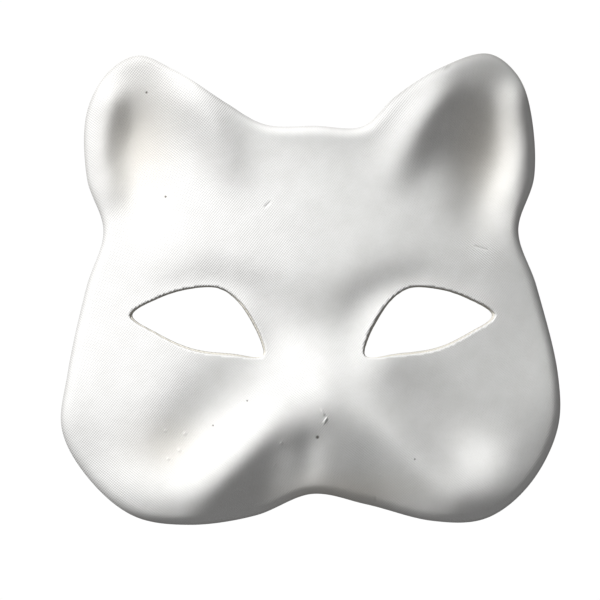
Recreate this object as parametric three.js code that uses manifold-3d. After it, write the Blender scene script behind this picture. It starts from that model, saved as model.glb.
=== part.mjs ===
// Blank cat half-mask of moulded paper pulp: two glued plies and a lining strip at each temple.
// Millimetres, +Z up. The wearer looks along -Y, so the front of the face is at negative Y.
// X = 0 is the plane between the eyes, Z = 0 is the eye line, and Y = 0 is the plane of the rear rim
// at the temples, which rests against the wearer's head. Left and right are the wearer's.
import * as THREE from 'three';
import { mergeVertices } from 'three/addons/utils/BufferGeometryUtils.js';
import Module from 'manifold-3d';

const wasm = await Module();
wasm.setup();

// Driving dimensions
const FACE_DEPTH = 38;          // rear rim plane to the middle of the forehead
const FACE_PLY = 1.0;           // thickness of the outer ply
const BACKING_PLY = 0.9;        // thickness of the inner ply
const GLUE_GAP = 0.3;           // clear space between glued layers
const WALL_DEPTH = 5;           // how far the edge turns back at the ears, forehead and lower edge
const ROLL_WIDTH = 4;           // the edge starts to roll back this far inside the outline
const ROLL_DROP = 2.4;          // how far it has rolled back at the outline
const ROLL_INSETS = [4, 2.4, 1.2, 0.5, 0];
const STRIP_THICKNESS = 1.0;
const STRIP_WIDTH = 8;          // along Y, forward from the rear rim
const STRIP_TOP = 26;
const STRIP_BOTTOM = -46;
const CORD_HOLE_RADIUS = 1.7;
const CORD_HOLE_Z = 8;
const CORD_HOLE_FROM_RIM = 4;
const EYE_LIP = 0.5;            // how far the inner ply stands proud inside each eye opening

// Resolution
const SPOKES = 76;
const RINGS = 9;

const PULP_WHITE = 0xf2efe8;
const PULP_CREAM = 0xe9e2d2;

// Outline of each half from mid forehead round to the bottom notch: [distance from the middle, z].
const RIGHT_EDGE = [
  [0, 69], [18, 69.5], [32, 77], [50, 88.5], [63, 94], [73, 89], [81, 75], [81, 51], [75, 32],
  [81, 12], [88, -20], [90, -40], [80, -58], [64, -71], [44, -74], [20, -71], [0, -63],
];
const LEFT_EDGE = [
  [0, 69], [17, 69], [29, 80], [45, 90], [62, 95], [73, 88], [79, 74], [81, 52], [75, 32],
  [82, 12], [90, -20], [90, -40], [80, -60], [64, -72], [44, -73], [20, -67], [0, -63],
];

// Almond eye opening, from its inner lower corner along the lower lid.
const EYE = [
  [18, -13], [30, -13], [44, -11], [57, -5], [66, 1.5], [56, 8], [44, 11.5], [34, 11.5], [26, 6], [18.5, -7],
];

// Curvature of the face as a whole.
const FACE_RADIUS = 160;        // from side to side
const CHIN_RADIUS = 110;        // from top to bottom, below CHIN_TOP
const CHIN_TOP = -25;
const EAR_ROOT_Z = 60;          // the ears tip forward above this height
const EAR_TIP_SLOPE = 0.35;

// Relief strokes: [x, z, height, radius] along a soft ridge (or groove, where height is negative).
const EYE_SOCKET = [[58, 8, -1, 8], [36, 14, -3, 8], [16, 6, -4, 9], [14, -16, -3, 9]];
const CHEEK_HOLLOW = [[24, -20, -4, 12], [42, -36, -10, 14], [56, -50, -6, 11]];
const OUTER_CHEEK = [[90, -8, 3, 16], [90, -46, 4, 16]];
const CHEEK_LOBE = [[72, -60, 4, 12], [50, -68, 6, 11]];
const MUZZLE_ARM = [[8, -30, 2, 9], [24, -40, 3, 8], [38, -54, 4, 8], [50, -66, 4, 9]];
const NOSE = [[0, -16, 1, 8], [0, -34, 5, 9]];
const PHILTRUM = [[-3, -42, -2, 5], [-1, -56, -2, 5]];
const EAR_CREST = [[28, 50, 2, 8], [36, 68, 6, 8], [48, 84, 5, 8]];
const EAR_HOLLOW = [[60, 34, -4, 10], [62, 56, -8, 12], [64, 76, -5, 10]];
const EAR_RIM = [[72, 42, 3, 6], [76, 60, 5, 6], [72, 82, 5, 6]];

// Underside of the nose and muzzle.
const LIP_TOP = -38;            // where the surface starts to draw back below the nose
const LIP_SLOPE = 0.4;
const MUZZLE_CORNER = 17;
const MUZZLE_TURN = THREE.MathUtils.degToRad(40);
const MUZZLE_SLOPE = 0.8;
const LEAN = 4;                 // how far the lower face sits towards the wearer's left

function smoothstep(low, high, value) {
  const t = Math.min(1, Math.max(0, (value - low) / (high - low)));
  return t * t * (3 - 2 * t);
}

// Zero below 0 and value above it, with a rounded corner of that width.
function softplus(value, width) {
  return width * Math.log1p(Math.exp(Math.min(30, Math.max(-30, value / width))));
}

// A soft bump with its own radius along X and along Z.
function bump(x, z, centreX, centreZ, height, radiusX, radiusZ) {
  const a = (x - centreX) / radiusX;
  const b = (z - centreZ) / radiusZ;
  return height * Math.exp(-a * a - b * b);
}

// A soft ridge along a polyline: many small bumps whose sum has the stated height.
function stroke(x, z, points) {
  let sum = 0;
  for (let i = 1; i < points.length; i += 1) {
    const start = points[i - 1];
    const end = points[i];
    const length = Math.hypot(end[0] - start[0], end[1] - start[1]);
    const count = Math.max(2, Math.ceil(length / (0.6 * Math.min(start[3], end[3]))));
    for (let step = 0; step < count; step += 1) {
      const t = (step + 0.5) / count;
      const [cx, cz, height, radius] = start.map((value, k) => value + (end[k] - value) * t);
      const share = (height * length) / (count * radius * Math.sqrt(Math.PI));
      sum += bump(x, z, cx, cz, share, radius, radius);
    }
  }
  return sum;
}

// The same stroke on both sides of the middle plane.
function mirroredStroke(x, z, points) {
  return stroke(x, z, points) + stroke(-x, z, points);
}

// How far the overhang below the nose and muzzle draws back: a lip facet between two muzzle facets.
function underside(x, z) {
  const lip = LIP_SLOPE * (LIP_TOP - z);
  const across = (MUZZLE_CORNER - Math.abs(x)) * Math.cos(MUZZLE_TURN);
  const below = across + (LIP_TOP - z) * Math.sin(MUZZLE_TURN);
  const depth = lip - softplus(lip - MUZZLE_SLOPE * below, 1.5);
  return softplus(depth, 1.6);
}

// Nose, muzzle, cheek hollows and underside, which lean together towards one side.
function lowerFace(x, z) {
  const nose = bump(x, z, 0, -4, -5, 16, 14) + stroke(x, z, NOSE);
  return nose + mirroredStroke(x, z, CHEEK_HOLLOW) + mirroredStroke(x, z, MUZZLE_ARM) - underside(x, z);
}

// Each ear tips forward above its root, with a raised crest and rim round a hollow.
function ears(side, z) {
  const tip = EAR_TIP_SLOPE * softplus(z - EAR_ROOT_Z, 5);
  return tip + stroke(side, z, EAR_CREST) + stroke(side, z, EAR_HOLLOW) + stroke(side, z, EAR_RIM);
}

// How far the face stands forward of the middle of the forehead.
function relief(x, z) {
  const side = Math.abs(x);
  const across = -(side ** 2) / (2 * FACE_RADIUS);
  const chin = -(Math.min(0, z - CHIN_TOP) ** 2) / (2 * CHIN_RADIUS);
  const cheeks = stroke(side, z, OUTER_CHEEK) + stroke(side, z, CHEEK_LOBE);
  const lip = stroke(x, z, PHILTRUM) + mirroredStroke(x, z, EYE_SOCKET);
  const leaning = lowerFace(x - LEAN * smoothstep(2, -40, z), z);
  return across + chin + cheeks + lip + ears(side, z) + leaning;
}

// Evenly spaced points round a closed smooth curve through a list of (x, z) points.
function closedCurve(points, count) {
  const knots = points.map(([x, z]) => new THREE.Vector3(x, 0, z));
  const curve = new THREE.CatmullRomCurve3(knots, true, 'centripetal');
  return curve.getSpacedPoints(count).slice(0, count);
}

const rightEdge = RIGHT_EDGE.slice(1, -1).map(([x, z]) => [-x, z]).reverse();
const edgePoints = closedCurve([...LEFT_EDGE, ...rightEdge], SPOKES);

// 1 where the side wall runs back to the rear rim plane, 0 where the edge only turns back a little.
function sideWall(point) {
  const lateral = smoothstep(58, 82, Math.abs(point.x));
  return lateral * smoothstep(46, 22, point.z) * smoothstep(-72, -46, point.z);
}

// How far the edge has rolled back at an inset from the outline; the ear tops roll less.
function rollDrop(inset, z) {
  return ROLL_DROP * (1 - inset / ROLL_WIDTH) ** 2.4 * (1 - 0.7 * smoothstep(62, 84, z));
}

// Rows of points from the edge inwards and back: face rings, rolled edge, then the wall to the rear rim.
function surfaceRows() {
  const rows = [];
  for (let ring = 1; ring < RINGS; ring += 1) {
    rows.push(edgePoints.map((edge) => {
      const reach = (ring / RINGS) * (1 - ROLL_WIDTH / edge.length());
      const x = edge.x * reach;
      const z = edge.z * reach;
      return new THREE.Vector3(x, -FACE_DEPTH - relief(x, z), z);
    }));
  }
  for (const inset of ROLL_INSETS) {
    rows.push(edgePoints.map((edge) => {
      const reach = 1 - inset / edge.length();
      const x = edge.x * reach;
      const z = edge.z * reach;
      return new THREE.Vector3(x, -FACE_DEPTH - relief(x, z) + rollDrop(inset, z), z);
    }));
  }
  const edgeRow = rows[rows.length - 1];
  for (const share of [0.5, 1]) {
    rows.push(edgeRow.map((point) => {
      const shallow = point.y + WALL_DEPTH;
      const rear = shallow + (0 - shallow) * sideWall(point);
      return new THREE.Vector3(point.x, point.y + (rear - point.y) * share, point.z);
    }));
  }
  return rows;
}

const rows = surfaceRows();
const centre = new THREE.Vector3(0, -FACE_DEPTH - relief(0, 0), 0);
const REAR_ROW = rows.length - 1;

// Triangles of the open sheet, as indices: 0 is the centre, then the rows one after another.
function sheetTriangles() {
  const triangles = [];
  const index = (row, spoke) => 1 + row * SPOKES + (spoke % SPOKES);
  for (let spoke = 0; spoke < SPOKES; spoke += 1) {
    triangles.push([0, index(0, spoke + 1), index(0, spoke)]);
    for (let row = 0; row < REAR_ROW; row += 1) {
      triangles.push([index(row, spoke), index(row + 1, spoke + 1), index(row + 1, spoke)]);
      triangles.push([index(row, spoke), index(row, spoke + 1), index(row + 1, spoke + 1)]);
    }
  }
  return triangles;
}

const sheetPoints = [centre, ...rows.flat()];
const sheet = sheetTriangles();

// Unit normals of the sheet, pointing out of the face.
function sheetNormals() {
  const geometry = new THREE.BufferGeometry().setFromPoints(sheetPoints);
  geometry.setIndex(sheet.flat());
  geometry.computeVertexNormals();
  const normals = geometry.getAttribute('normal');
  return sheetPoints.map((point, i) => new THREE.Vector3().fromBufferAttribute(normals, i));
}

const normals = sheetNormals();

// A closed ply between two depths below the outer surface.
function plyGeometry(outerDepth, innerDepth) {
  const outer = sheetPoints.map((point, i) => point.clone().addScaledVector(normals[i], -outerDepth));
  const inner = sheetPoints.map((point, i) => point.clone().addScaledVector(normals[i], -innerDepth));
  const count = sheetPoints.length;
  const triangles = sheet.map((corners) => [...corners]);
  for (const [a, b, c] of sheet) {
    triangles.push([a + count, c + count, b + count]);
  }
  const rim = 1 + REAR_ROW * SPOKES;
  for (let spoke = 0; spoke < SPOKES; spoke += 1) {
    const a = rim + spoke;
    const b = rim + ((spoke + 1) % SPOKES);
    triangles.push([a, b + count, a + count]);
    triangles.push([a, b, b + count]);
  }
  const geometry = new THREE.BufferGeometry().setFromPoints([...outer, ...inner]);
  geometry.setIndex(triangles.flat());
  return geometry;
}

function toSolid(geometry) {
  const bare = geometry.clone();
  bare.deleteAttribute('normal');
  bare.deleteAttribute('uv');
  const merged = mergeVertices(bare, 1e-4);
  const mesh = new wasm.Mesh({
    numProp: 3,
    vertProperties: new Float32Array(merged.getAttribute('position').array),
    triVerts: new Uint32Array(merged.getIndex().array),
  });
  return new wasm.Manifold(mesh);
}

function toGeometry(solid) {
  const mesh = solid.getMesh();
  const geometry = new THREE.BufferGeometry();
  geometry.setAttribute('position', new THREE.BufferAttribute(mesh.vertProperties, 3));
  geometry.setIndex(new THREE.BufferAttribute(mesh.triVerts, 1));
  geometry.computeVertexNormals();
  return geometry;
}

// A prism along Y from an outline of (x, z) points, from the plane Y = 0 forward to Y = -length.
function prismForward(points, length) {
  const shape = new THREE.Shape(points.map((point) => new THREE.Vector2(point.x, point.z)));
  const geometry = new THREE.ExtrudeGeometry(shape, { depth: length, bevelEnabled: false });
  return geometry.rotateX(Math.PI / 2);
}

// The cutter for one eye opening; lip shrinks it towards the middle of the opening.
function eyeCutter(sign, lip) {
  const outline = closedCurve(EYE, 44);
  const middle = new THREE.Vector3(41, 0, 0);
  const points = outline.map((point) => {
    const inward = middle.clone().sub(point).setLength(lip);
    return new THREE.Vector3(sign * (point.x + inward.x), 0, point.z + inward.z);
  });
  return toSolid(prismForward(sign > 0 ? points : points.reverse(), FACE_DEPTH + 20));
}

// The cutter for the cord hole in one side wall.
function cordHoleCutter(sign) {
  const geometry = new THREE.CylinderGeometry(CORD_HOLE_RADIUS, CORD_HOLE_RADIUS, 30, 20);
  geometry.rotateZ(Math.PI / 2);
  geometry.translate(sign * 80, -CORD_HOLE_FROM_RIM, CORD_HOLE_Z);
  return toSolid(geometry);
}

function plySolid(outerDepth, innerDepth, lip) {
  let solid = toSolid(plyGeometry(outerDepth, innerDepth));
  for (const sign of [-1, 1]) {
    solid = solid.subtract(eyeCutter(sign, lip)).subtract(cordHoleCutter(sign));
  }
  return solid;
}

// A strip glued inside one side wall, flush with the rear rim.
function templeStripSolid(sign) {
  const start = FACE_PLY + GLUE_GAP + BACKING_PLY + GLUE_GAP;
  const rim = 1 + REAR_ROW * SPOKES;
  const run = edgePoints
    .map((point, spoke) => ({ point, normal: normals[rim + spoke] }))
    .filter(({ point }) => point.x * sign > 60 && point.z < STRIP_TOP && point.z > STRIP_BOTTOM)
    .sort((a, b) => b.point.z - a.point.z);
  const offsetLine = (depth) => run.map(({ point, normal }) => point.clone().addScaledVector(normal, -depth));
  const outline = [...offsetLine(start), ...offsetLine(start + STRIP_THICKNESS).reverse()];
  const solid = toSolid(prismForward(outline, STRIP_WIDTH));
  return solid.subtract(cordHoleCutter(sign));
}

function part(name, solid, color) {
  const material = new THREE.MeshStandardMaterial({ color, roughness: 0.92, metalness: 0 });
  const mesh = new THREE.Mesh(toGeometry(solid), material);
  mesh.name = name;
  return mesh;
}

const backingStart = FACE_PLY + GLUE_GAP;
const mask = new THREE.Group();
mask.name = 'cat_half_mask';
mask.add(part('face_ply', plySolid(0, FACE_PLY, 0), PULP_WHITE));
mask.add(part('backing_ply', plySolid(backingStart, backingStart + BACKING_PLY, EYE_LIP), PULP_CREAM));
mask.add(part('temple_strip_right', templeStripSolid(-1), PULP_CREAM));
mask.add(part('temple_strip_left', templeStripSolid(1), PULP_CREAM));

export default mask;
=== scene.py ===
"""Blank cat half-mask of moulded paper pulp, built as fine shells over its CAD frame.

Lengths are in millimetres until a mesh is made, when MM turns them into metres. +Z is up, the face
looks along -Y, Y = 0 is the plane of the rear rim and Z = 0 is the eye line. Left and right are the wearer's,
so the wearer's right is at negative X.
"""

import math

import bpy
import numpy as np
from mathutils import Matrix, Vector, noise
from mathutils.geometry import delaunay_2d_cdt


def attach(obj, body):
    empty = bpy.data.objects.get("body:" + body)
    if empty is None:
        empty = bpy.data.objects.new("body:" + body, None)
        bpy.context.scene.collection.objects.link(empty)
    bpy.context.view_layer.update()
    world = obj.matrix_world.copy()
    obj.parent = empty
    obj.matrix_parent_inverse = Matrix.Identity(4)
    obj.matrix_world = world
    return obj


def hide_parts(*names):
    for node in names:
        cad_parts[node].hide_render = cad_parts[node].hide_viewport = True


MM = 0.001

# Shell
FACE_DEPTH = 38          # rear rim plane to the middle of the forehead
WALL_DEPTH = 5           # how far the edge turns back at the ears, forehead and lower edge
ROLL_WIDTH = 4           # the edge starts to roll back this far inside the outline
ROLL_DROP = 2.4          # how far it has rolled back at the outline
FACE_PLY = (0, 1.0)      # depths of a layer's two faces below the outer surface
BACKING_PLY = (1.12, 2.05)
STRIP_LAYER = (2.2, 3.2)
STRIP_WIDTH = 8          # along Y, forward from the rear rim
STRIP_TOP = 26
STRIP_BOTTOM = -46
CORD_HOLE_RADIUS = 1.7
CORD_HOLE_Z = 8
CORD_HOLE_FROM_RIM = 4
EDGE_PAINTED_SHADE = 0.25         # painted shade: how much darker the surface is along the outline edge
EDGE_PAINTED_SHADE_WIDTH = 0.8
EYE_LIP = 0.45           # how far the inner ply stands proud inside each eye opening

# Camera and light
CAMERA_DISTANCE = 1500
CAMERA_LENS = 250
CAMERA_AZIMUTH = -3.5    # degrees, towards the wearer's right
CAMERA_ROLL = 0
CAMERA_TARGET = (-4.5, -22, 7)
KEY_AZIMUTH = -38          # degrees, towards the wearer's right
KEY_ELEVATION = 35
KEY_DISTANCE = 1500
KEY_SIZE = 450
KEY_IRRADIANCE = 3.7
AMBIENT = 0.19

# Outline of each half from mid forehead round to the bottom notch, as (distance from the middle, z)
RIGHT_EDGE = [
    (0, 69), (18, 69.5), (32, 77), (50, 88.5), (63, 94), (73, 89), (81, 75), (81, 51), (75, 32),
    (81, 12), (88, -20), (90, -40), (80, -58), (64, -71), (44, -74), (20, -71), (0, -63),
]
LEFT_EDGE = [
    (0, 69), (17, 69), (29, 80), (45, 90), (62, 95), (73, 88), (79, 74), (81, 52), (75, 32),
    (82, 12), (90, -20), (90, -40), (80, -60), (64, -72), (44, -73), (20, -67), (0, -63),
]

# Almond eye opening, from the inner lower corner along the lower lid
EYE = [
    (18, -13), (30, -13), (44, -11), (57, -5), (66, 1.5),
    (56, 8), (44, 11.5), (34, 11.5), (26, 6), (18.5, -7),
]
EYE_MIDDLE = (41, 0)

# Curvature of the face as a whole
FACE_RADIUS = 160        # from side to side
CHIN_RADIUS = 110        # from top to bottom, below CHIN_TOP
CHIN_TOP = -25
EAR_ROOT_Z = 60          # the ears tip forward above this height
EAR_TIP_SLOPE = 0.35

# Relief strokes: (x, z, height, radius) along a soft ridge, or a groove where height is negative
EYE_SOCKET = [(58, 8, -1, 8), (36, 14, -3, 8), (16, 6, -4, 9), (14, -16, -3, 9)]
CHEEK_HOLLOW = [(24, -20, -4, 12), (42, -36, -10, 14), (56, -50, -6, 11)]
OUTER_CHEEK = [(90, -8, 3, 16), (90, -46, 4, 16)]
CHEEK_LOBE = [(72, -60, 4, 12), (50, -68, 6, 11)]
MUZZLE_ARM = [(8, -30, 2, 9), (24, -40, 3, 8), (38, -54, 4, 8), (50, -66, 4, 9)]
NOSE = [(0, -16, 1, 8), (0, -34, 5, 9)]
PHILTRUM = [(-3, -42, -2, 5), (-1, -56, -2, 5)]
EAR_CREST = [(28, 50, 2, 8), (36, 68, 6, 8), (48, 84, 5, 8)]
EAR_HOLLOW = [(60, 34, -4, 10), (62, 56, -8, 12), (64, 76, -5, 10)]
EAR_RIM = [(72, 42, 3, 6), (76, 60, 5, 6), (72, 82, 5, 6)]

# Underside of the nose and muzzle
LIP_TOP = -38            # where the surface starts to draw back below the nose
LIP_SLOPE = 0.4
MUZZLE_CORNER = 17
MUZZLE_TURN = math.radians(40)
MUZZLE_SLOPE = 0.8
LEAN = 4                 # how far the lower face sits towards the wearer's left


# ---------------------------------------------------------------- relief

def smoothstep(low, high, value):
    t = np.clip((value - low) / (high - low), 0, 1)
    return t * t * (3 - 2 * t)


def softplus(value, width):
    """Zero below 0 and value above it, with a rounded corner of that width."""
    return width * np.log1p(np.exp(np.clip(value / width, -30, 30)))


def bump(x, z, centre_x, centre_z, height, radius_x, radius_z):
    return height * np.exp(-((x - centre_x) / radius_x) ** 2 - ((z - centre_z) / radius_z) ** 2)


def stroke(x, z, points):
    """A soft ridge along a polyline: many small bumps whose sum has the stated height."""
    total = np.zeros(np.shape(x))
    for start, end in zip(points[:-1], points[1:]):
        length = math.hypot(end[0] - start[0], end[1] - start[1])
        count = max(2, math.ceil(length / (0.6 * min(start[3], end[3]))))
        for step in range(count):
            t = (step + 0.5) / count
            cx, cz, height, radius = (a + (b - a) * t for a, b in zip(start, end))
            share = height * length / (count * radius * math.sqrt(math.pi))
            total = total + bump(x, z, cx, cz, share, radius, radius)
    return total


def both_sides(x, z, points):
    return stroke(x, z, points) + stroke(-x, z, points)


def underside(x, z):
    """How far the overhang below the nose and muzzle draws back: a lip facet between two muzzle facets."""
    lip = LIP_SLOPE * (LIP_TOP - z)
    below = (MUZZLE_CORNER - np.abs(x)) * math.cos(MUZZLE_TURN) + (LIP_TOP - z) * math.sin(MUZZLE_TURN)
    depth = lip - softplus(lip - MUZZLE_SLOPE * below, 1.5)
    return softplus(depth, 1.6)


def lower_face(x, z):
    """Nose, muzzle, cheek hollows and underside, which lean together towards one side."""
    nose = bump(x, z, 0, -4, -5, 16, 14) + stroke(x, z, NOSE)
    return nose + both_sides(x, z, CHEEK_HOLLOW) + both_sides(x, z, MUZZLE_ARM) - underside(x, z)


def ears(side, z):
    """Each ear tips forward above its root, with a raised crest and rim round a hollow."""
    tip = EAR_TIP_SLOPE * softplus(z - EAR_ROOT_Z, 5)
    return tip + stroke(side, z, EAR_CREST) + stroke(side, z, EAR_HOLLOW) + stroke(side, z, EAR_RIM)


def relief(x, z):
    """How far the face stands forward of the middle of the forehead."""
    side = np.abs(x)
    across = -side ** 2 / (2 * FACE_RADIUS)
    chin = -np.minimum(0, z - CHIN_TOP) ** 2 / (2 * CHIN_RADIUS)
    cheeks = stroke(side, z, OUTER_CHEEK) + stroke(side, z, CHEEK_LOBE)
    middle = stroke(x, z, PHILTRUM) + both_sides(x, z, EYE_SOCKET)
    leaning = lower_face(x - LEAN * smoothstep(2, -40, z), z)
    return across + chin + cheeks + middle + ears(side, z) + leaning


def unevenness(x, z):
    """The slow waviness of hand-pressed pulp."""
    out = np.zeros(len(x))
    for i, (a, b) in enumerate(zip(x, z)):
        out[i] = 0.16 * noise.noise(Vector((a / 15, 0.3, b / 15)))
        out[i] += 0.05 * noise.noise(Vector((a / 5, 7.1, b / 5)))
        out[i] += 0.018 * noise.noise(Vector((a / 1.6, 3.7, b / 1.6)))
    return out


# ---------------------------------------------------------------- outlines

def closed_curve(points, spacing):
    """Evenly spaced points round a closed centripetal Catmull-Rom curve, as an (n, 2) array."""
    knots = np.array(points, float)
    fine = []
    for i in range(len(knots)):
        p0, p1, p2, p3 = (knots[(i + k) % len(knots)] for k in (-1, 0, 1, 2))
        t0 = 0.0
        t1 = t0 + math.sqrt(np.linalg.norm(p1 - p0))
        t2 = t1 + math.sqrt(np.linalg.norm(p2 - p1))
        t3 = t2 + math.sqrt(np.linalg.norm(p3 - p2))
        for t in np.linspace(t1, t2, 24, endpoint=False):
            a1 = (t1 - t) / (t1 - t0) * p0 + (t - t0) / (t1 - t0) * p1
            a2 = (t2 - t) / (t2 - t1) * p1 + (t - t1) / (t2 - t1) * p2
            a3 = (t3 - t) / (t3 - t2) * p2 + (t - t2) / (t3 - t2) * p3
            b1 = (t2 - t) / (t2 - t0) * a1 + (t - t0) / (t2 - t0) * a2
            b2 = (t3 - t) / (t3 - t1) * a2 + (t - t1) / (t3 - t1) * a3
            fine.append((t2 - t) / (t2 - t1) * b1 + (t - t1) / (t2 - t1) * b2)
    return resample(np.array(fine), spacing)


def resample(loop, spacing):
    """The same closed loop with evenly spaced points."""
    closed = np.vstack([loop, loop[:1]])
    run = np.concatenate([[0], np.cumsum(np.linalg.norm(np.diff(closed, axis=0), axis=1))])
    count = max(12, int(round(run[-1] / spacing)))
    at = np.arange(count) * run[-1] / count
    return np.stack([np.interp(at, run, closed[:, k]) for k in (0, 1)], axis=1)


def outward_normals(loop):
    """Unit outward normals of a counterclockwise loop."""
    along = np.roll(loop, -1, axis=0) - np.roll(loop, 1, axis=0)
    out = np.stack([along[:, 1], -along[:, 0]], axis=1)
    return out / np.linalg.norm(out, axis=1)[:, None]


def counterclockwise(loop):
    x, z = loop[:, 0], loop[:, 1]
    area = np.sum(x * np.roll(z, -1) - np.roll(x, -1) * z)
    return loop if area > 0 else loop[::-1].copy()


def mask_outline(spacing):
    right = [(-x, z) for x, z in RIGHT_EDGE]
    left = LEFT_EDGE[1:-1][::-1]
    return counterclockwise(closed_curve(right + left, spacing))


def eye_outline(sign, lip, spacing):
    loop = closed_curve([(sign * x, z) for x, z in EYE], spacing)
    inward = np.array([sign * EYE_MIDDLE[0], EYE_MIDDLE[1]]) - loop
    loop = loop + inward * (lip / np.linalg.norm(inward, axis=1))[:, None]
    return counterclockwise(loop)


def inside(points, loop):
    """Which points lie inside a closed loop."""
    result = np.zeros(len(points), bool)
    ax, az = loop[:, 0], loop[:, 1]
    bx, bz = np.roll(ax, -1), np.roll(az, -1)
    rise = np.where(bz == az, 1e-9, bz - az)
    for start in range(0, len(points), 4000):
        px = points[start:start + 4000, 0][:, None]
        pz = points[start:start + 4000, 1][:, None]
        crosses = (az > pz) != (bz > pz)
        hits = crosses & (px < (bx - ax) * (pz - az) / rise + ax)
        result[start:start + 4000] = hits.sum(axis=1) % 2 == 1
    return result


def distance_to(points, loop):
    """How far each point is from the nearest of a loop's points."""
    nearest = np.empty(len(points))
    for start in range(0, len(points), 2000):
        gap = points[start:start + 2000, None, :] - loop[None, :, :]
        nearest[start:start + 2000] = np.sqrt((gap ** 2).sum(axis=2).min(axis=1))
    return nearest


# ---------------------------------------------------------------- small features

# Marks in the pulp: (x, z, radius, height)
PIMPLES = [
    (-46, -41, 0.6, 0.3), (-48, -47, 0.6, 0.3), (-52, -50, 0.5, 0.3),
    (-40, -36, 0.5, 0.2), (-53, -40, 0.5, 0.2), (-12, -44, 0.5, 0.3),
    (-14, -52, 0.5, 0.2), (-27, -61, 0.5, 0.3), (24, -56, 0.5, 0.2),
]
# Scratches and nicks: polylines of (x, z, depth, radius), cut into the surface
SCRATCHES = [
    [(-18, 40, 0.3, 0.4), (-16, 42, 0.2, 0.4)],
    [(58, 26.5, 0.2, 0.4), (63, 25, 0.2, 0.4)],
    [(46, 89, 0.3, 0.4), (48, 90, 0.3, 0.4)],
    [(23, -66, 0.2, 0.4), (23, -64, 0.2, 0.4)],
]
# Raised, torn chips at the scuffed nose tip
CHIPS = [
    [(2, -32, 0.3, 0.4), (3, -34, 0.5, 0.4)],
    [(4, -35, 0.5, 0.4), (3, -37, 0.3, 0.4)],
]
# Dark specks: (x, z, radius)
SPECKS = [(-53, 44, 0.4), (-60, 81, 0.4), (1, -42, 0.6), (-36, -38, 0.3), (-24, -29, 0.3), (36, -50, 0.3)]


def small_features(x, z):
    total = np.zeros(len(x))
    for cx, cz, radius, height in PIMPLES:
        total += bump(x, z, cx, cz, height, radius, radius)
    for points in SCRATCHES:
        total -= stroke(x, z, points)
    for points in CHIPS:
        total += stroke(x, z, points)
    for cx, cz, radius in SPECKS:
        total -= bump(x, z, cx, cz, 0.3 * radius, radius, radius)
    return total


def feature_spots():
    """Where the mesh is refined: (x, z, reach)."""
    spots = [(x, z, 2.2 * radius) for x, z, radius, _ in PIMPLES]
    spots += [(x, z, 2.2 * radius) for x, z, radius in SPECKS]
    for points in SCRATCHES + CHIPS:
        for start, end in zip(points[:-1], points[1:]):
            for t in np.linspace(0, 1, 4):
                spots.append((start[0] + (end[0] - start[0]) * t, start[1] + (end[1] - start[1]) * t, 0.9))
    return spots


# ---------------------------------------------------------------- surfaces

RING_INSETS = (0.12, 0.3, 0.6, 1.0, 1.5, 2.1)


def hex_lattice(low, high, spacing):
    rows = []
    for k, z in enumerate(np.arange(low[1], high[1], spacing * 0.866)):
        x = np.arange(low[0], high[0], spacing) + (spacing / 2 if k % 2 else 0)
        rows.append(np.stack([x, np.full(len(x), z)], axis=1))
    return np.vstack(rows)


def filling_points(outline, eyes, spacing, spots):
    """Points inside the outline and outside the eyes: rings along the edge, then an even lattice."""
    normals = outward_normals(outline)
    rings = [outline - normals * inset for inset in RING_INSETS]
    lattice = hex_lattice(outline.min(axis=0), outline.max(axis=0), spacing)
    for cx, cz, reach in spots:
        lattice = lattice[np.hypot(lattice[:, 0] - cx, lattice[:, 1] - cz) > reach]
    fine = []
    taken = np.empty((0, 3))
    for cx, cz, reach in spots:
        patch = hex_lattice((cx - reach, cz - reach), (cx + reach, cz + reach), 0.22)
        patch = patch[np.hypot(patch[:, 0] - cx, patch[:, 1] - cz) <= reach]
        for ox, oz, other in taken:
            patch = patch[np.hypot(patch[:, 0] - ox, patch[:, 1] - oz) > other]
        taken = np.vstack([taken, [(cx, cz, reach)]])
        fine.append(patch)
    lattice = np.vstack([lattice, *fine])
    lattice = lattice[inside(lattice, outline)]
    lattice = lattice[distance_to(lattice, outline) > RING_INSETS[-1] + 0.35 * spacing]
    points = np.vstack([*rings, lattice])
    for eye in eyes:
        points = points[~inside(points, eye)]
        points = points[distance_to(points, eye) > 0.45 * spacing]
    return points


def triangulate(outline, eyes, filling):
    """Points, counterclockwise triangles, and the indices of the outline's and eyes' points."""
    loops = [outline, *eyes]
    points = np.vstack([*loops, filling])
    edges, starts, start = [], [], 0
    for loop in loops:
        starts.append(start)
        edges += [(start + i, start + (i + 1) % len(loop)) for i in range(len(loop))]
        start += len(loop)
    made = delaunay_2d_cdt([Vector(p) for p in points], edges, [], 0, 1e-5)
    place = {}
    for new, originals in enumerate(made[3]):
        for original in originals:
            place[original] = new
    found = np.array([tuple(v) for v in made[0]])
    faces = np.array([f for f in made[2] if len(f) == 3])
    middles = found[faces].mean(axis=1)
    keep = inside(middles, outline)
    for eye in eyes:
        keep &= ~inside(middles, eye)
    indices = [[place[s + i] for i in range(len(loop))] for s, loop in zip(starts, loops)]
    return found, [tuple(f) for f in faces[keep]], indices


def side_wall(x, z):
    """1 where the side wall runs back to the rear rim plane, 0 where the edge only turns back a little."""
    return smoothstep(58, 82, np.abs(x)) * smoothstep(46, 22, z) * smoothstep(-72, -46, z)


def vertex_normals(points, faces):
    normals = np.zeros(points.shape)
    for size in (3, 4):
        group = np.array([f for f in faces if len(f) == size])
        if len(group) == 0:
            continue
        diagonal = points[group[:, 2]] - points[group[:, 0]]
        across = points[group[:, -1]] - points[group[:, 1]]
        if size == 3:
            diagonal, across = points[group[:, 1]] - points[group[:, 0]], diagonal
        area = np.cross(diagonal, across)
        for corner in range(size):
            np.add.at(normals, group[:, corner], area)
    return normals / np.maximum(np.linalg.norm(normals, axis=1), 1e-12)[:, None]


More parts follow.
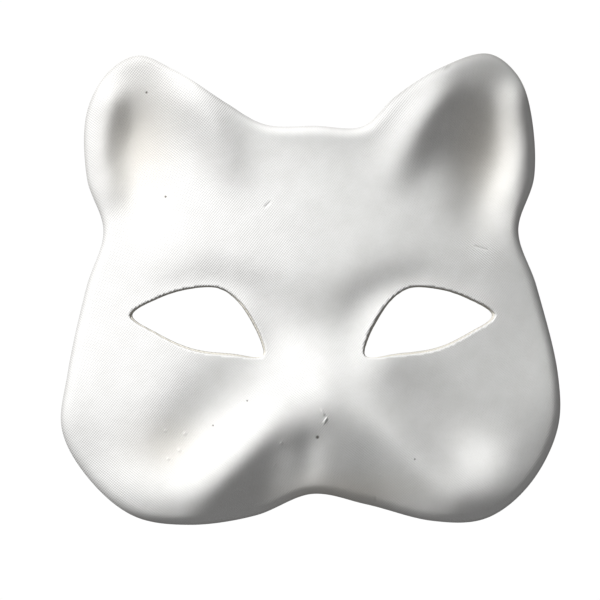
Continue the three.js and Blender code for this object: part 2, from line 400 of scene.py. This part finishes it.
class Sheet:
    """The outer surface of the mask: face, rolled edge and wall, with its loops of open edge."""

    def __init__(self, spacing, lip, spots, wall_rows):
        outline = mask_outline(min(0.7, spacing))
        eyes = [eye_outline(sign, lip, min(0.6, spacing)) for sign in (-1, 1)]
        filling = filling_points(outline, eyes, spacing, spots)
        flat, faces, (edge, *eye_loops) = triangulate(outline, eyes, filling)
        x, z = flat[:, 0], flat[:, 1]
        inset = np.minimum(distance_to(flat, outline), ROLL_WIDTH)
        drop = ROLL_DROP * (1 - inset / ROLL_WIDTH) ** 2.4 * (1 - 0.7 * smoothstep(62, 84, z))
        height = relief(x, z) + unevenness(x, z) + small_features(x, z)
        face = np.stack([x, -FACE_DEPTH - height + drop, z], axis=1)
        self.build_wall(face, faces, edge, outline, wall_rows)
        self.eyes = eye_loops
        self.normals = vertex_normals(self.points, self.faces)
        self.flat = np.vstack([flat, self.wall_flat])

    def build_wall(self, face, faces, edge, outline, wall_rows):
        rim = face[edge]
        outward = outward_normals(rim[:, [0, 2]])
        shallow = rim[:, 1] + WALL_DEPTH
        rear = shallow * (1 - side_wall(rim[:, 0], rim[:, 2]))
        points, wall_flat, previous = [face], [], list(edge)
        faces = list(faces)
        start, count = len(face), len(edge)
        for row in range(1, wall_rows + 1):
            share = (row / wall_rows) ** 1.3
            back = rim[:, 1] + (rear - rim[:, 1]) * share
            points.append(np.stack([rim[:, 0], back, rim[:, 2]], axis=1))
            wall_flat.append(rim[:, [0, 2]] + outward * (back - rim[:, 1])[:, None])
            current = list(range(start, start + count))
            for i in range(count):
                j = (i + 1) % count
                faces.append((previous[j], previous[i], current[i], current[j]))
            previous, start = current, start + count
        self.points = np.vstack(points)
        self.faces = faces
        self.rear = previous
        self.wall_flat = np.vstack(wall_flat)


def ply_arrays(sheet, depths):
    """Closed shell between two depths below the sheet, its open edges joined by a rounded strip."""
    outer = sheet.points - sheet.normals * depths[0]
    inner = sheet.points - sheet.normals * depths[1]
    count = len(outer)
    points = [outer, inner]
    flat = [sheet.flat, sheet.flat]
    faces = list(sheet.faces)
    faces += [tuple(i + count for i in reversed(f)) for f in sheet.faces]
    start = 2 * count
    loops = [(sheet.rear, 1)] + [(eye, -1) for eye in sheet.eyes]
    for loop, sense in loops:
        middle = (outer[loop] + inner[loop]) / 2
        along = np.roll(middle, -1, axis=0) - np.roll(middle, 1, axis=0)
        out = np.cross(along, inner[loop] - outer[loop]) * sense
        out /= np.linalg.norm(out, axis=1)[:, None]
        rough = np.array([noise.noise(Vector(p) / 1.1) for p in middle])
        points.append(middle + out * (0.14 + 0.1 * rough)[:, None])
        flat.append(sheet.flat[loop] + out[:, [0, 2]] * 0.5)
        ring = list(range(start, start + len(loop)))
        start += len(loop)
        for i in range(len(loop)):
            j = (i + 1) % len(loop)
            a, b = (i, j) if sense > 0 else (j, i)
            faces.append((loop[b], loop[a], ring[a], ring[b]))
            faces.append((ring[b], ring[a], loop[a] + count, loop[b] + count))
    return np.vstack(points), faces, np.vstack(flat)


def new_mesh(name, points, faces, flat=None, attributes=None):
    """A smooth-shaded object from arrays in millimetres; flat is its (u, v) in millimetres."""
    mesh = bpy.data.meshes.new(name)
    mesh.from_pydata((points * MM).tolist(), [], faces)
    mesh.shade_smooth()
    if flat is not None:
        corners = np.zeros(len(mesh.loops), int)
        mesh.loops.foreach_get("vertex_index", corners)
        layer = mesh.uv_layers.new(name="Flat")
        layer.uv.foreach_set("vector", (flat[corners] / 100).astype(np.float32).ravel())
    for key, values in (attributes or {}).items():
        attribute = mesh.attributes.new(key, "FLOAT", "POINT")
        attribute.data.foreach_set("value", values.astype(np.float32))
    mesh.update()
    obj = bpy.data.objects.new(name, mesh)
    bpy.context.scene.collection.objects.link(obj)
    return obj


# ---------------------------------------------------------------- materials

def node(tree, kind, **inputs):
    made = tree.nodes.new(kind)
    for key, value in inputs.items():
        made.inputs[key.replace("_", " ")].default_value = value
    return made


def pulp_material(name, light, dark, warm_shade_colour, relief_depth):
    """Pressed paper pulp: mottled colour, weave of the forming screen, fibres and specks, with painted shade
    mixed in from vertex attributes.
    """
    material = bpy.data.materials.new(name)
    material.use_nodes = True
    tree = material.node_tree
    tree.nodes.clear()
    link = tree.links.new
    output = tree.nodes.new("ShaderNodeOutputMaterial")
    shader = node(tree, "ShaderNodeBsdfPrincipled", Roughness=0.93, Specular_IOR_Level=0.25)
    link(shader.outputs["BSDF"], output.inputs["Surface"])
    flat = tree.nodes.new("ShaderNodeUVMap")
    flat.uv_map = "Flat"

    mottle = node(tree, "ShaderNodeTexNoise", Scale=14.0, Detail=5.0, Roughness=0.6)
    link(flat.outputs["UV"], mottle.inputs["Vector"])
    ramp = tree.nodes.new("ShaderNodeValToRGB")
    ramp.color_ramp.elements[0].position = 0.3
    ramp.color_ramp.elements[0].color = (*dark, 1)
    ramp.color_ramp.elements[1].position = 0.68
    ramp.color_ramp.elements[1].color = (*light, 1)
    link(mottle.outputs["Fac"], ramp.inputs["Fac"])
    # Painted shade, tinted warm: a warmer, darker colour mixed in where the vertex attribute is high, in the
    # hollows and under the muzzle.
    warm_tone_and_painted_shade = tree.nodes.new("ShaderNodeAttribute")
    warm_tone_and_painted_shade.attribute_name = "warm_tone_and_painted_shade"
    painted_shade_mix = tree.nodes.new("ShaderNodeMix")
    painted_shade_mix.data_type = "RGBA"
    painted_shade_mix.inputs["B"].default_value = (*warm_shade_colour, 1)
    link(warm_tone_and_painted_shade.outputs["Fac"], painted_shade_mix.inputs["Factor"])
    link(ramp.outputs["Color"], painted_shade_mix.inputs["A"])
    # Stain on specks and scratches, and painted shade along the edge, mixed in as a near-black brown.
    stain_and_painted_shade = tree.nodes.new("ShaderNodeAttribute")
    stain_and_painted_shade.attribute_name = "stain_and_painted_shade"
    stain_and_shade_mix = tree.nodes.new("ShaderNodeMix")
    stain_and_shade_mix.data_type = "RGBA"
    stain_and_shade_mix.inputs["B"].default_value = (0.06, 0.045, 0.03, 1)
    link(stain_and_painted_shade.outputs["Fac"], stain_and_shade_mix.inputs["Factor"])
    link(painted_shade_mix.outputs["Result"], stain_and_shade_mix.inputs["A"])
    link(stain_and_shade_mix.outputs["Result"], shader.inputs["Base Color"])

    heights = []
    for turn in (38, -52):
        place = node(tree, "ShaderNodeMapping")
        place.inputs["Rotation"].default_value = (0, 0, math.radians(turn))
        link(flat.outputs["UV"], place.inputs["Vector"])
        weave = node(tree, "ShaderNodeTexWave", Scale=44.0, Distortion=1.2, Detail=1.0, Detail_Scale=0.4)
        link(place.outputs["Vector"], weave.inputs["Vector"])
        heights.append((weave.outputs["Fac"], 0.8))
    for scale, detail, weight in ((60.0, 6.0, 0.9), (230.0, 3.0, 0.7)):
        grain = node(tree, "ShaderNodeTexNoise", Scale=scale, Detail=detail, Roughness=0.65)
        link(flat.outputs["UV"], grain.inputs["Vector"])
        heights.append((grain.outputs["Fac"], weight))
    total = None
    for socket, weight in heights:
        scaled = tree.nodes.new("ShaderNodeMath")
        scaled.operation = "MULTIPLY_ADD"
        link(socket, scaled.inputs[0])
        scaled.inputs[1].default_value = weight
        if total is None:
            scaled.inputs[2].default_value = 0
        else:
            link(total, scaled.inputs[2])
        total = scaled.outputs["Value"]
    grain_bump = node(tree, "ShaderNodeBump", Strength=1.0, Distance=relief_depth * MM)
    link(total, grain_bump.inputs["Height"])
    link(grain_bump.outputs["Normal"], shader.inputs["Normal"])
    return material


# ---------------------------------------------------------------- pieces

def surface_marks(flat):
    """Vertex attributes: painted shade, tinted warm, in the ear hollows, the wearer's right cheek hollow and
    under the muzzle; dark stain on specks and scratches, and painted shade along the outline edge.
    """
    x, z = flat[:, 0], flat[:, 1]
    side = np.abs(x)
    # Painted shade, tinted warm, in the ear hollows, the cheek hollow at the wearer's right and under the
    # muzzle.
    warm_tone_and_painted_shade = bump(side, z, 62, 62, 0.55, 12, 22) + bump(x, z, -52, -46, 0.45, 14, 10)
    warm_tone_and_painted_shade = warm_tone_and_painted_shade + bump(x, z, 12, -62, 0.6, 24, 7)
    stain_and_painted_shade = np.zeros(len(x))
    for cx, cz, radius in SPECKS:
        stain_and_painted_shade += 0.9 * np.exp(-(((x - cx) ** 2 + (z - cz) ** 2) / radius ** 2) ** 2)
    for points in SCRATCHES:
        stain_and_painted_shade += 0.5 * stroke(x, z, [(a, b, depth, radius * 0.8) for a, b, depth, radius in points])
    # Painted shade: a dark band along the outline edge.
    edge_distance = distance_to(flat, mask_outline(0.5))
    stain_and_painted_shade += EDGE_PAINTED_SHADE * np.exp(-(edge_distance / EDGE_PAINTED_SHADE_WIDTH) ** 2)
    return {"warm_tone_and_painted_shade": np.clip(warm_tone_and_painted_shade, 0, 1), "stain_and_painted_shade": np.clip(stain_and_painted_shade, 0, 1)}


def add_ply(name, sheet, depths, material):
    points, faces, flat = ply_arrays(sheet, depths)
    obj = new_mesh(name, points, faces, flat, surface_marks(flat))
    obj.data.materials.append(material)
    return obj


def strip_arrays(sheet, sign):
    """The lining strip glued inside one side wall, flush with the rear rim."""
    rear = np.array(sheet.rear)
    place = sheet.points[rear]
    run = rear[(place[:, 0] * sign > 60) & (place[:, 2] < STRIP_TOP) & (place[:, 2] > STRIP_BOTTOM)]
    run = run[np.argsort(sheet.points[run][:, 2])]
    base, out = sheet.points[run], sheet.normals[run]
    out = out / np.linalg.norm(out[:, [0, 2]], axis=1)[:, None]
    out[:, 1] = 0
    reach = np.linspace(0, STRIP_WIDTH, 11)
    grids = []
    for depth in STRIP_LAYER:
        grid = base[:, None, :] - out[:, None, :] * depth
        grid = np.repeat(grid, len(reach), axis=1)
        grid[:, :, 1] = -reach[None, :]
        ragged = np.array([noise.noise(Vector((p[2] / 3, sign, 0))) for p in base])
        grid[:, -1, 1] += 0.5 * ragged
        grids.append(grid)
    rows, columns = len(run), len(reach)
    points = np.vstack([g.reshape(-1, 3) for g in grids])
    half = rows * columns

    def at(side, i, j):
        return side * half + i * columns + j

    faces = []
    for i in range(rows - 1):
        for j in range(columns - 1):
            quad = [at(0, i, j), at(0, i + 1, j), at(0, i + 1, j + 1), at(0, i, j + 1)]
            faces.append(tuple(quad))
            faces.append(tuple(q + half for q in reversed(quad)))
    border = [(i, 0) for i in range(rows)] + [(rows - 1, j) for j in range(1, columns)]
    border += [(i, columns - 1) for i in range(rows - 2, -1, -1)]
    border += [(0, j) for j in range(columns - 2, 0, -1)]
    for (i, j), (k, m) in zip(border, border[1:] + border[:1]):
        faces.append((at(0, k, m), at(0, i, j), at(1, i, j), at(1, k, m)))
    if sign < 0:
        faces = [tuple(reversed(f)) for f in faces]
    flat = np.stack([points[:, 1] + sign * 300, points[:, 2]], axis=1)
    return points, faces, flat


def add_strip(name, sheet, sign, material):
    points, faces, flat = strip_arrays(sheet, sign)
    # The strip gets an even warm tone through the same attribute that carries the painted shade.
    marks = {"warm_tone_and_painted_shade": np.full(len(points), 0.3), "stain_and_painted_shade": np.zeros(len(points))}
    obj = new_mesh(name, points, faces, flat, marks)
    obj.data.materials.append(material)
    return obj


def cord_hole_cutter(sign):
    bpy.ops.mesh.primitive_cylinder_add(
        vertices=40, radius=CORD_HOLE_RADIUS * MM, depth=30 * MM,
        location=(sign * 80 * MM, -CORD_HOLE_FROM_RIM * MM, CORD_HOLE_Z * MM), rotation=(0, math.pi / 2, 0),
    )
    return bpy.context.object


def cut_cord_holes(objects):
    cutters = [cord_hole_cutter(sign) for sign in (-1, 1)]
    for obj in objects:
        for cutter in cutters:
            cut = obj.modifiers.new("cord_hole", "BOOLEAN")
            cut.operation = "DIFFERENCE"
            cut.solver = "MANIFOLD"
            cut.object = cutter
        bpy.context.view_layer.objects.active = obj
        for modifier in list(obj.modifiers):
            bpy.ops.object.modifier_apply(modifier=modifier.name)
    for cutter in cutters:
        bpy.data.objects.remove(cutter)


# ---------------------------------------------------------------- surroundings

def add_world():
    """A white background for the camera and a dim even light for the surfaces."""
    world = bpy.data.worlds.new("studio")
    bpy.context.scene.world = world
    world.use_nodes = True
    tree = world.node_tree
    tree.nodes.clear()
    output = tree.nodes.new("ShaderNodeOutputWorld")
    seen = node(tree, "ShaderNodeBackground", Color=(1, 1, 1, 1), Strength=1.02)
    felt = node(tree, "ShaderNodeBackground", Color=(1, 1, 1, 1), Strength=AMBIENT)
    path = tree.nodes.new("ShaderNodeLightPath")
    mix = tree.nodes.new("ShaderNodeMixShader")
    tree.links.new(path.outputs["Is Camera Ray"], mix.inputs["Fac"])
    tree.links.new(felt.outputs["Background"], mix.inputs[1])
    tree.links.new(seen.outputs["Background"], mix.inputs[2])
    tree.links.new(mix.outputs["Shader"], output.inputs["Surface"])


def add_key_light():
    azimuth, elevation = math.radians(KEY_AZIMUTH), math.radians(KEY_ELEVATION)
    level = math.cos(elevation)
    direction = Vector((math.sin(azimuth) * level, -math.cos(azimuth) * level, math.sin(elevation)))
    light = bpy.data.lights.new("key", "AREA")
    light.shape = "DISK"
    light.size = KEY_SIZE * MM
    light.energy = KEY_IRRADIANCE * math.pi * (KEY_DISTANCE * MM) ** 2
    obj = bpy.data.objects.new("key", light)
    obj.location = direction * KEY_DISTANCE * MM
    obj.rotation_euler = direction.to_track_quat("Z", "Y").to_euler()
    bpy.context.scene.collection.objects.link(obj)


def add_floor():
    bpy.ops.mesh.primitive_plane_add(size=0.6, location=(0, 0, -0.25))
    floor = bpy.context.object
    floor.name = "floor"
    material = bpy.data.materials.new("floor")
    material.use_nodes = True
    shader = material.node_tree.nodes["Principled BSDF"]
    shader.inputs["Base Color"].default_value = (0.8, 0.8, 0.79, 1)
    shader.inputs["Roughness"].default_value = 0.9
    floor.data.materials.append(material)
    floor.visible_diffuse = False


def add_camera():
    azimuth = math.radians(CAMERA_AZIMUTH)
    back = Vector((math.sin(azimuth), -math.cos(azimuth), 0))
    data = bpy.data.cameras.new("camera")
    data.lens = CAMERA_LENS
    obj = bpy.data.objects.new("camera", data)
    obj.location = (Vector(CAMERA_TARGET) + back * CAMERA_DISTANCE) * MM
    aim = back.to_track_quat("Z", "Y")
    obj.rotation_mode = "QUATERNION"
    obj.rotation_quaternion = Matrix.Rotation(math.radians(-CAMERA_ROLL), 4, back).to_quaternion() @ aim
    bpy.context.scene.collection.objects.link(obj)
    bpy.context.scene.camera = obj


# ---------------------------------------------------------------- scene

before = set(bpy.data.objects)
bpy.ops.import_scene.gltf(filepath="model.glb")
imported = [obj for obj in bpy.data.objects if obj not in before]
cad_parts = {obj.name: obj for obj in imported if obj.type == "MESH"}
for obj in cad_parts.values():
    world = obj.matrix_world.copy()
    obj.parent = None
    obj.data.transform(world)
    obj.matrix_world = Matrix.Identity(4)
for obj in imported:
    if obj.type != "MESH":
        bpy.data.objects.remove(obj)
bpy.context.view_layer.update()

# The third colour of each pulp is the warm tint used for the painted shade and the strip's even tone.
face_pulp = pulp_material("face_pulp", (0.90, 0.895, 0.885), (0.85, 0.845, 0.83), (0.80, 0.76, 0.69), 0.07)
backing_pulp = pulp_material("backing_pulp", (0.80, 0.77, 0.70), (0.72, 0.69, 0.61), (0.66, 0.60, 0.50), 0.08)
strip_pulp = pulp_material("strip_pulp", (0.82, 0.79, 0.73), (0.75, 0.72, 0.65), (0.68, 0.63, 0.54), 0.08)

face_sheet = Sheet(spacing=0.8, lip=0, spots=feature_spots(), wall_rows=12)
backing_sheet = Sheet(spacing=1.5, lip=EYE_LIP, spots=[], wall_rows=8)
face = add_ply("face_shell", face_sheet, FACE_PLY, face_pulp)
backing = add_ply("backing_shell", backing_sheet, BACKING_PLY, backing_pulp)
strip_right = add_strip("strip_right", backing_sheet, -1, strip_pulp)
strip_left = add_strip("strip_left", backing_sheet, 1, strip_pulp)
cut_cord_holes([face, backing, strip_right, strip_left])

for piece, cad_node, slot in (
    (face, "face_ply", "face_pulp"),
    (backing, "backing_ply", "backing_pulp"),
    (strip_right, "temple_strip_right", "strip_pulp"),
    (strip_left, "temple_strip_left", "strip_pulp"),
):
    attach(piece, "root")
    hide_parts(cad_node)

add_world()
add_key_light()
add_floor()
add_camera()
bpy.context.scene.view_settings.view_transform = "Standard"
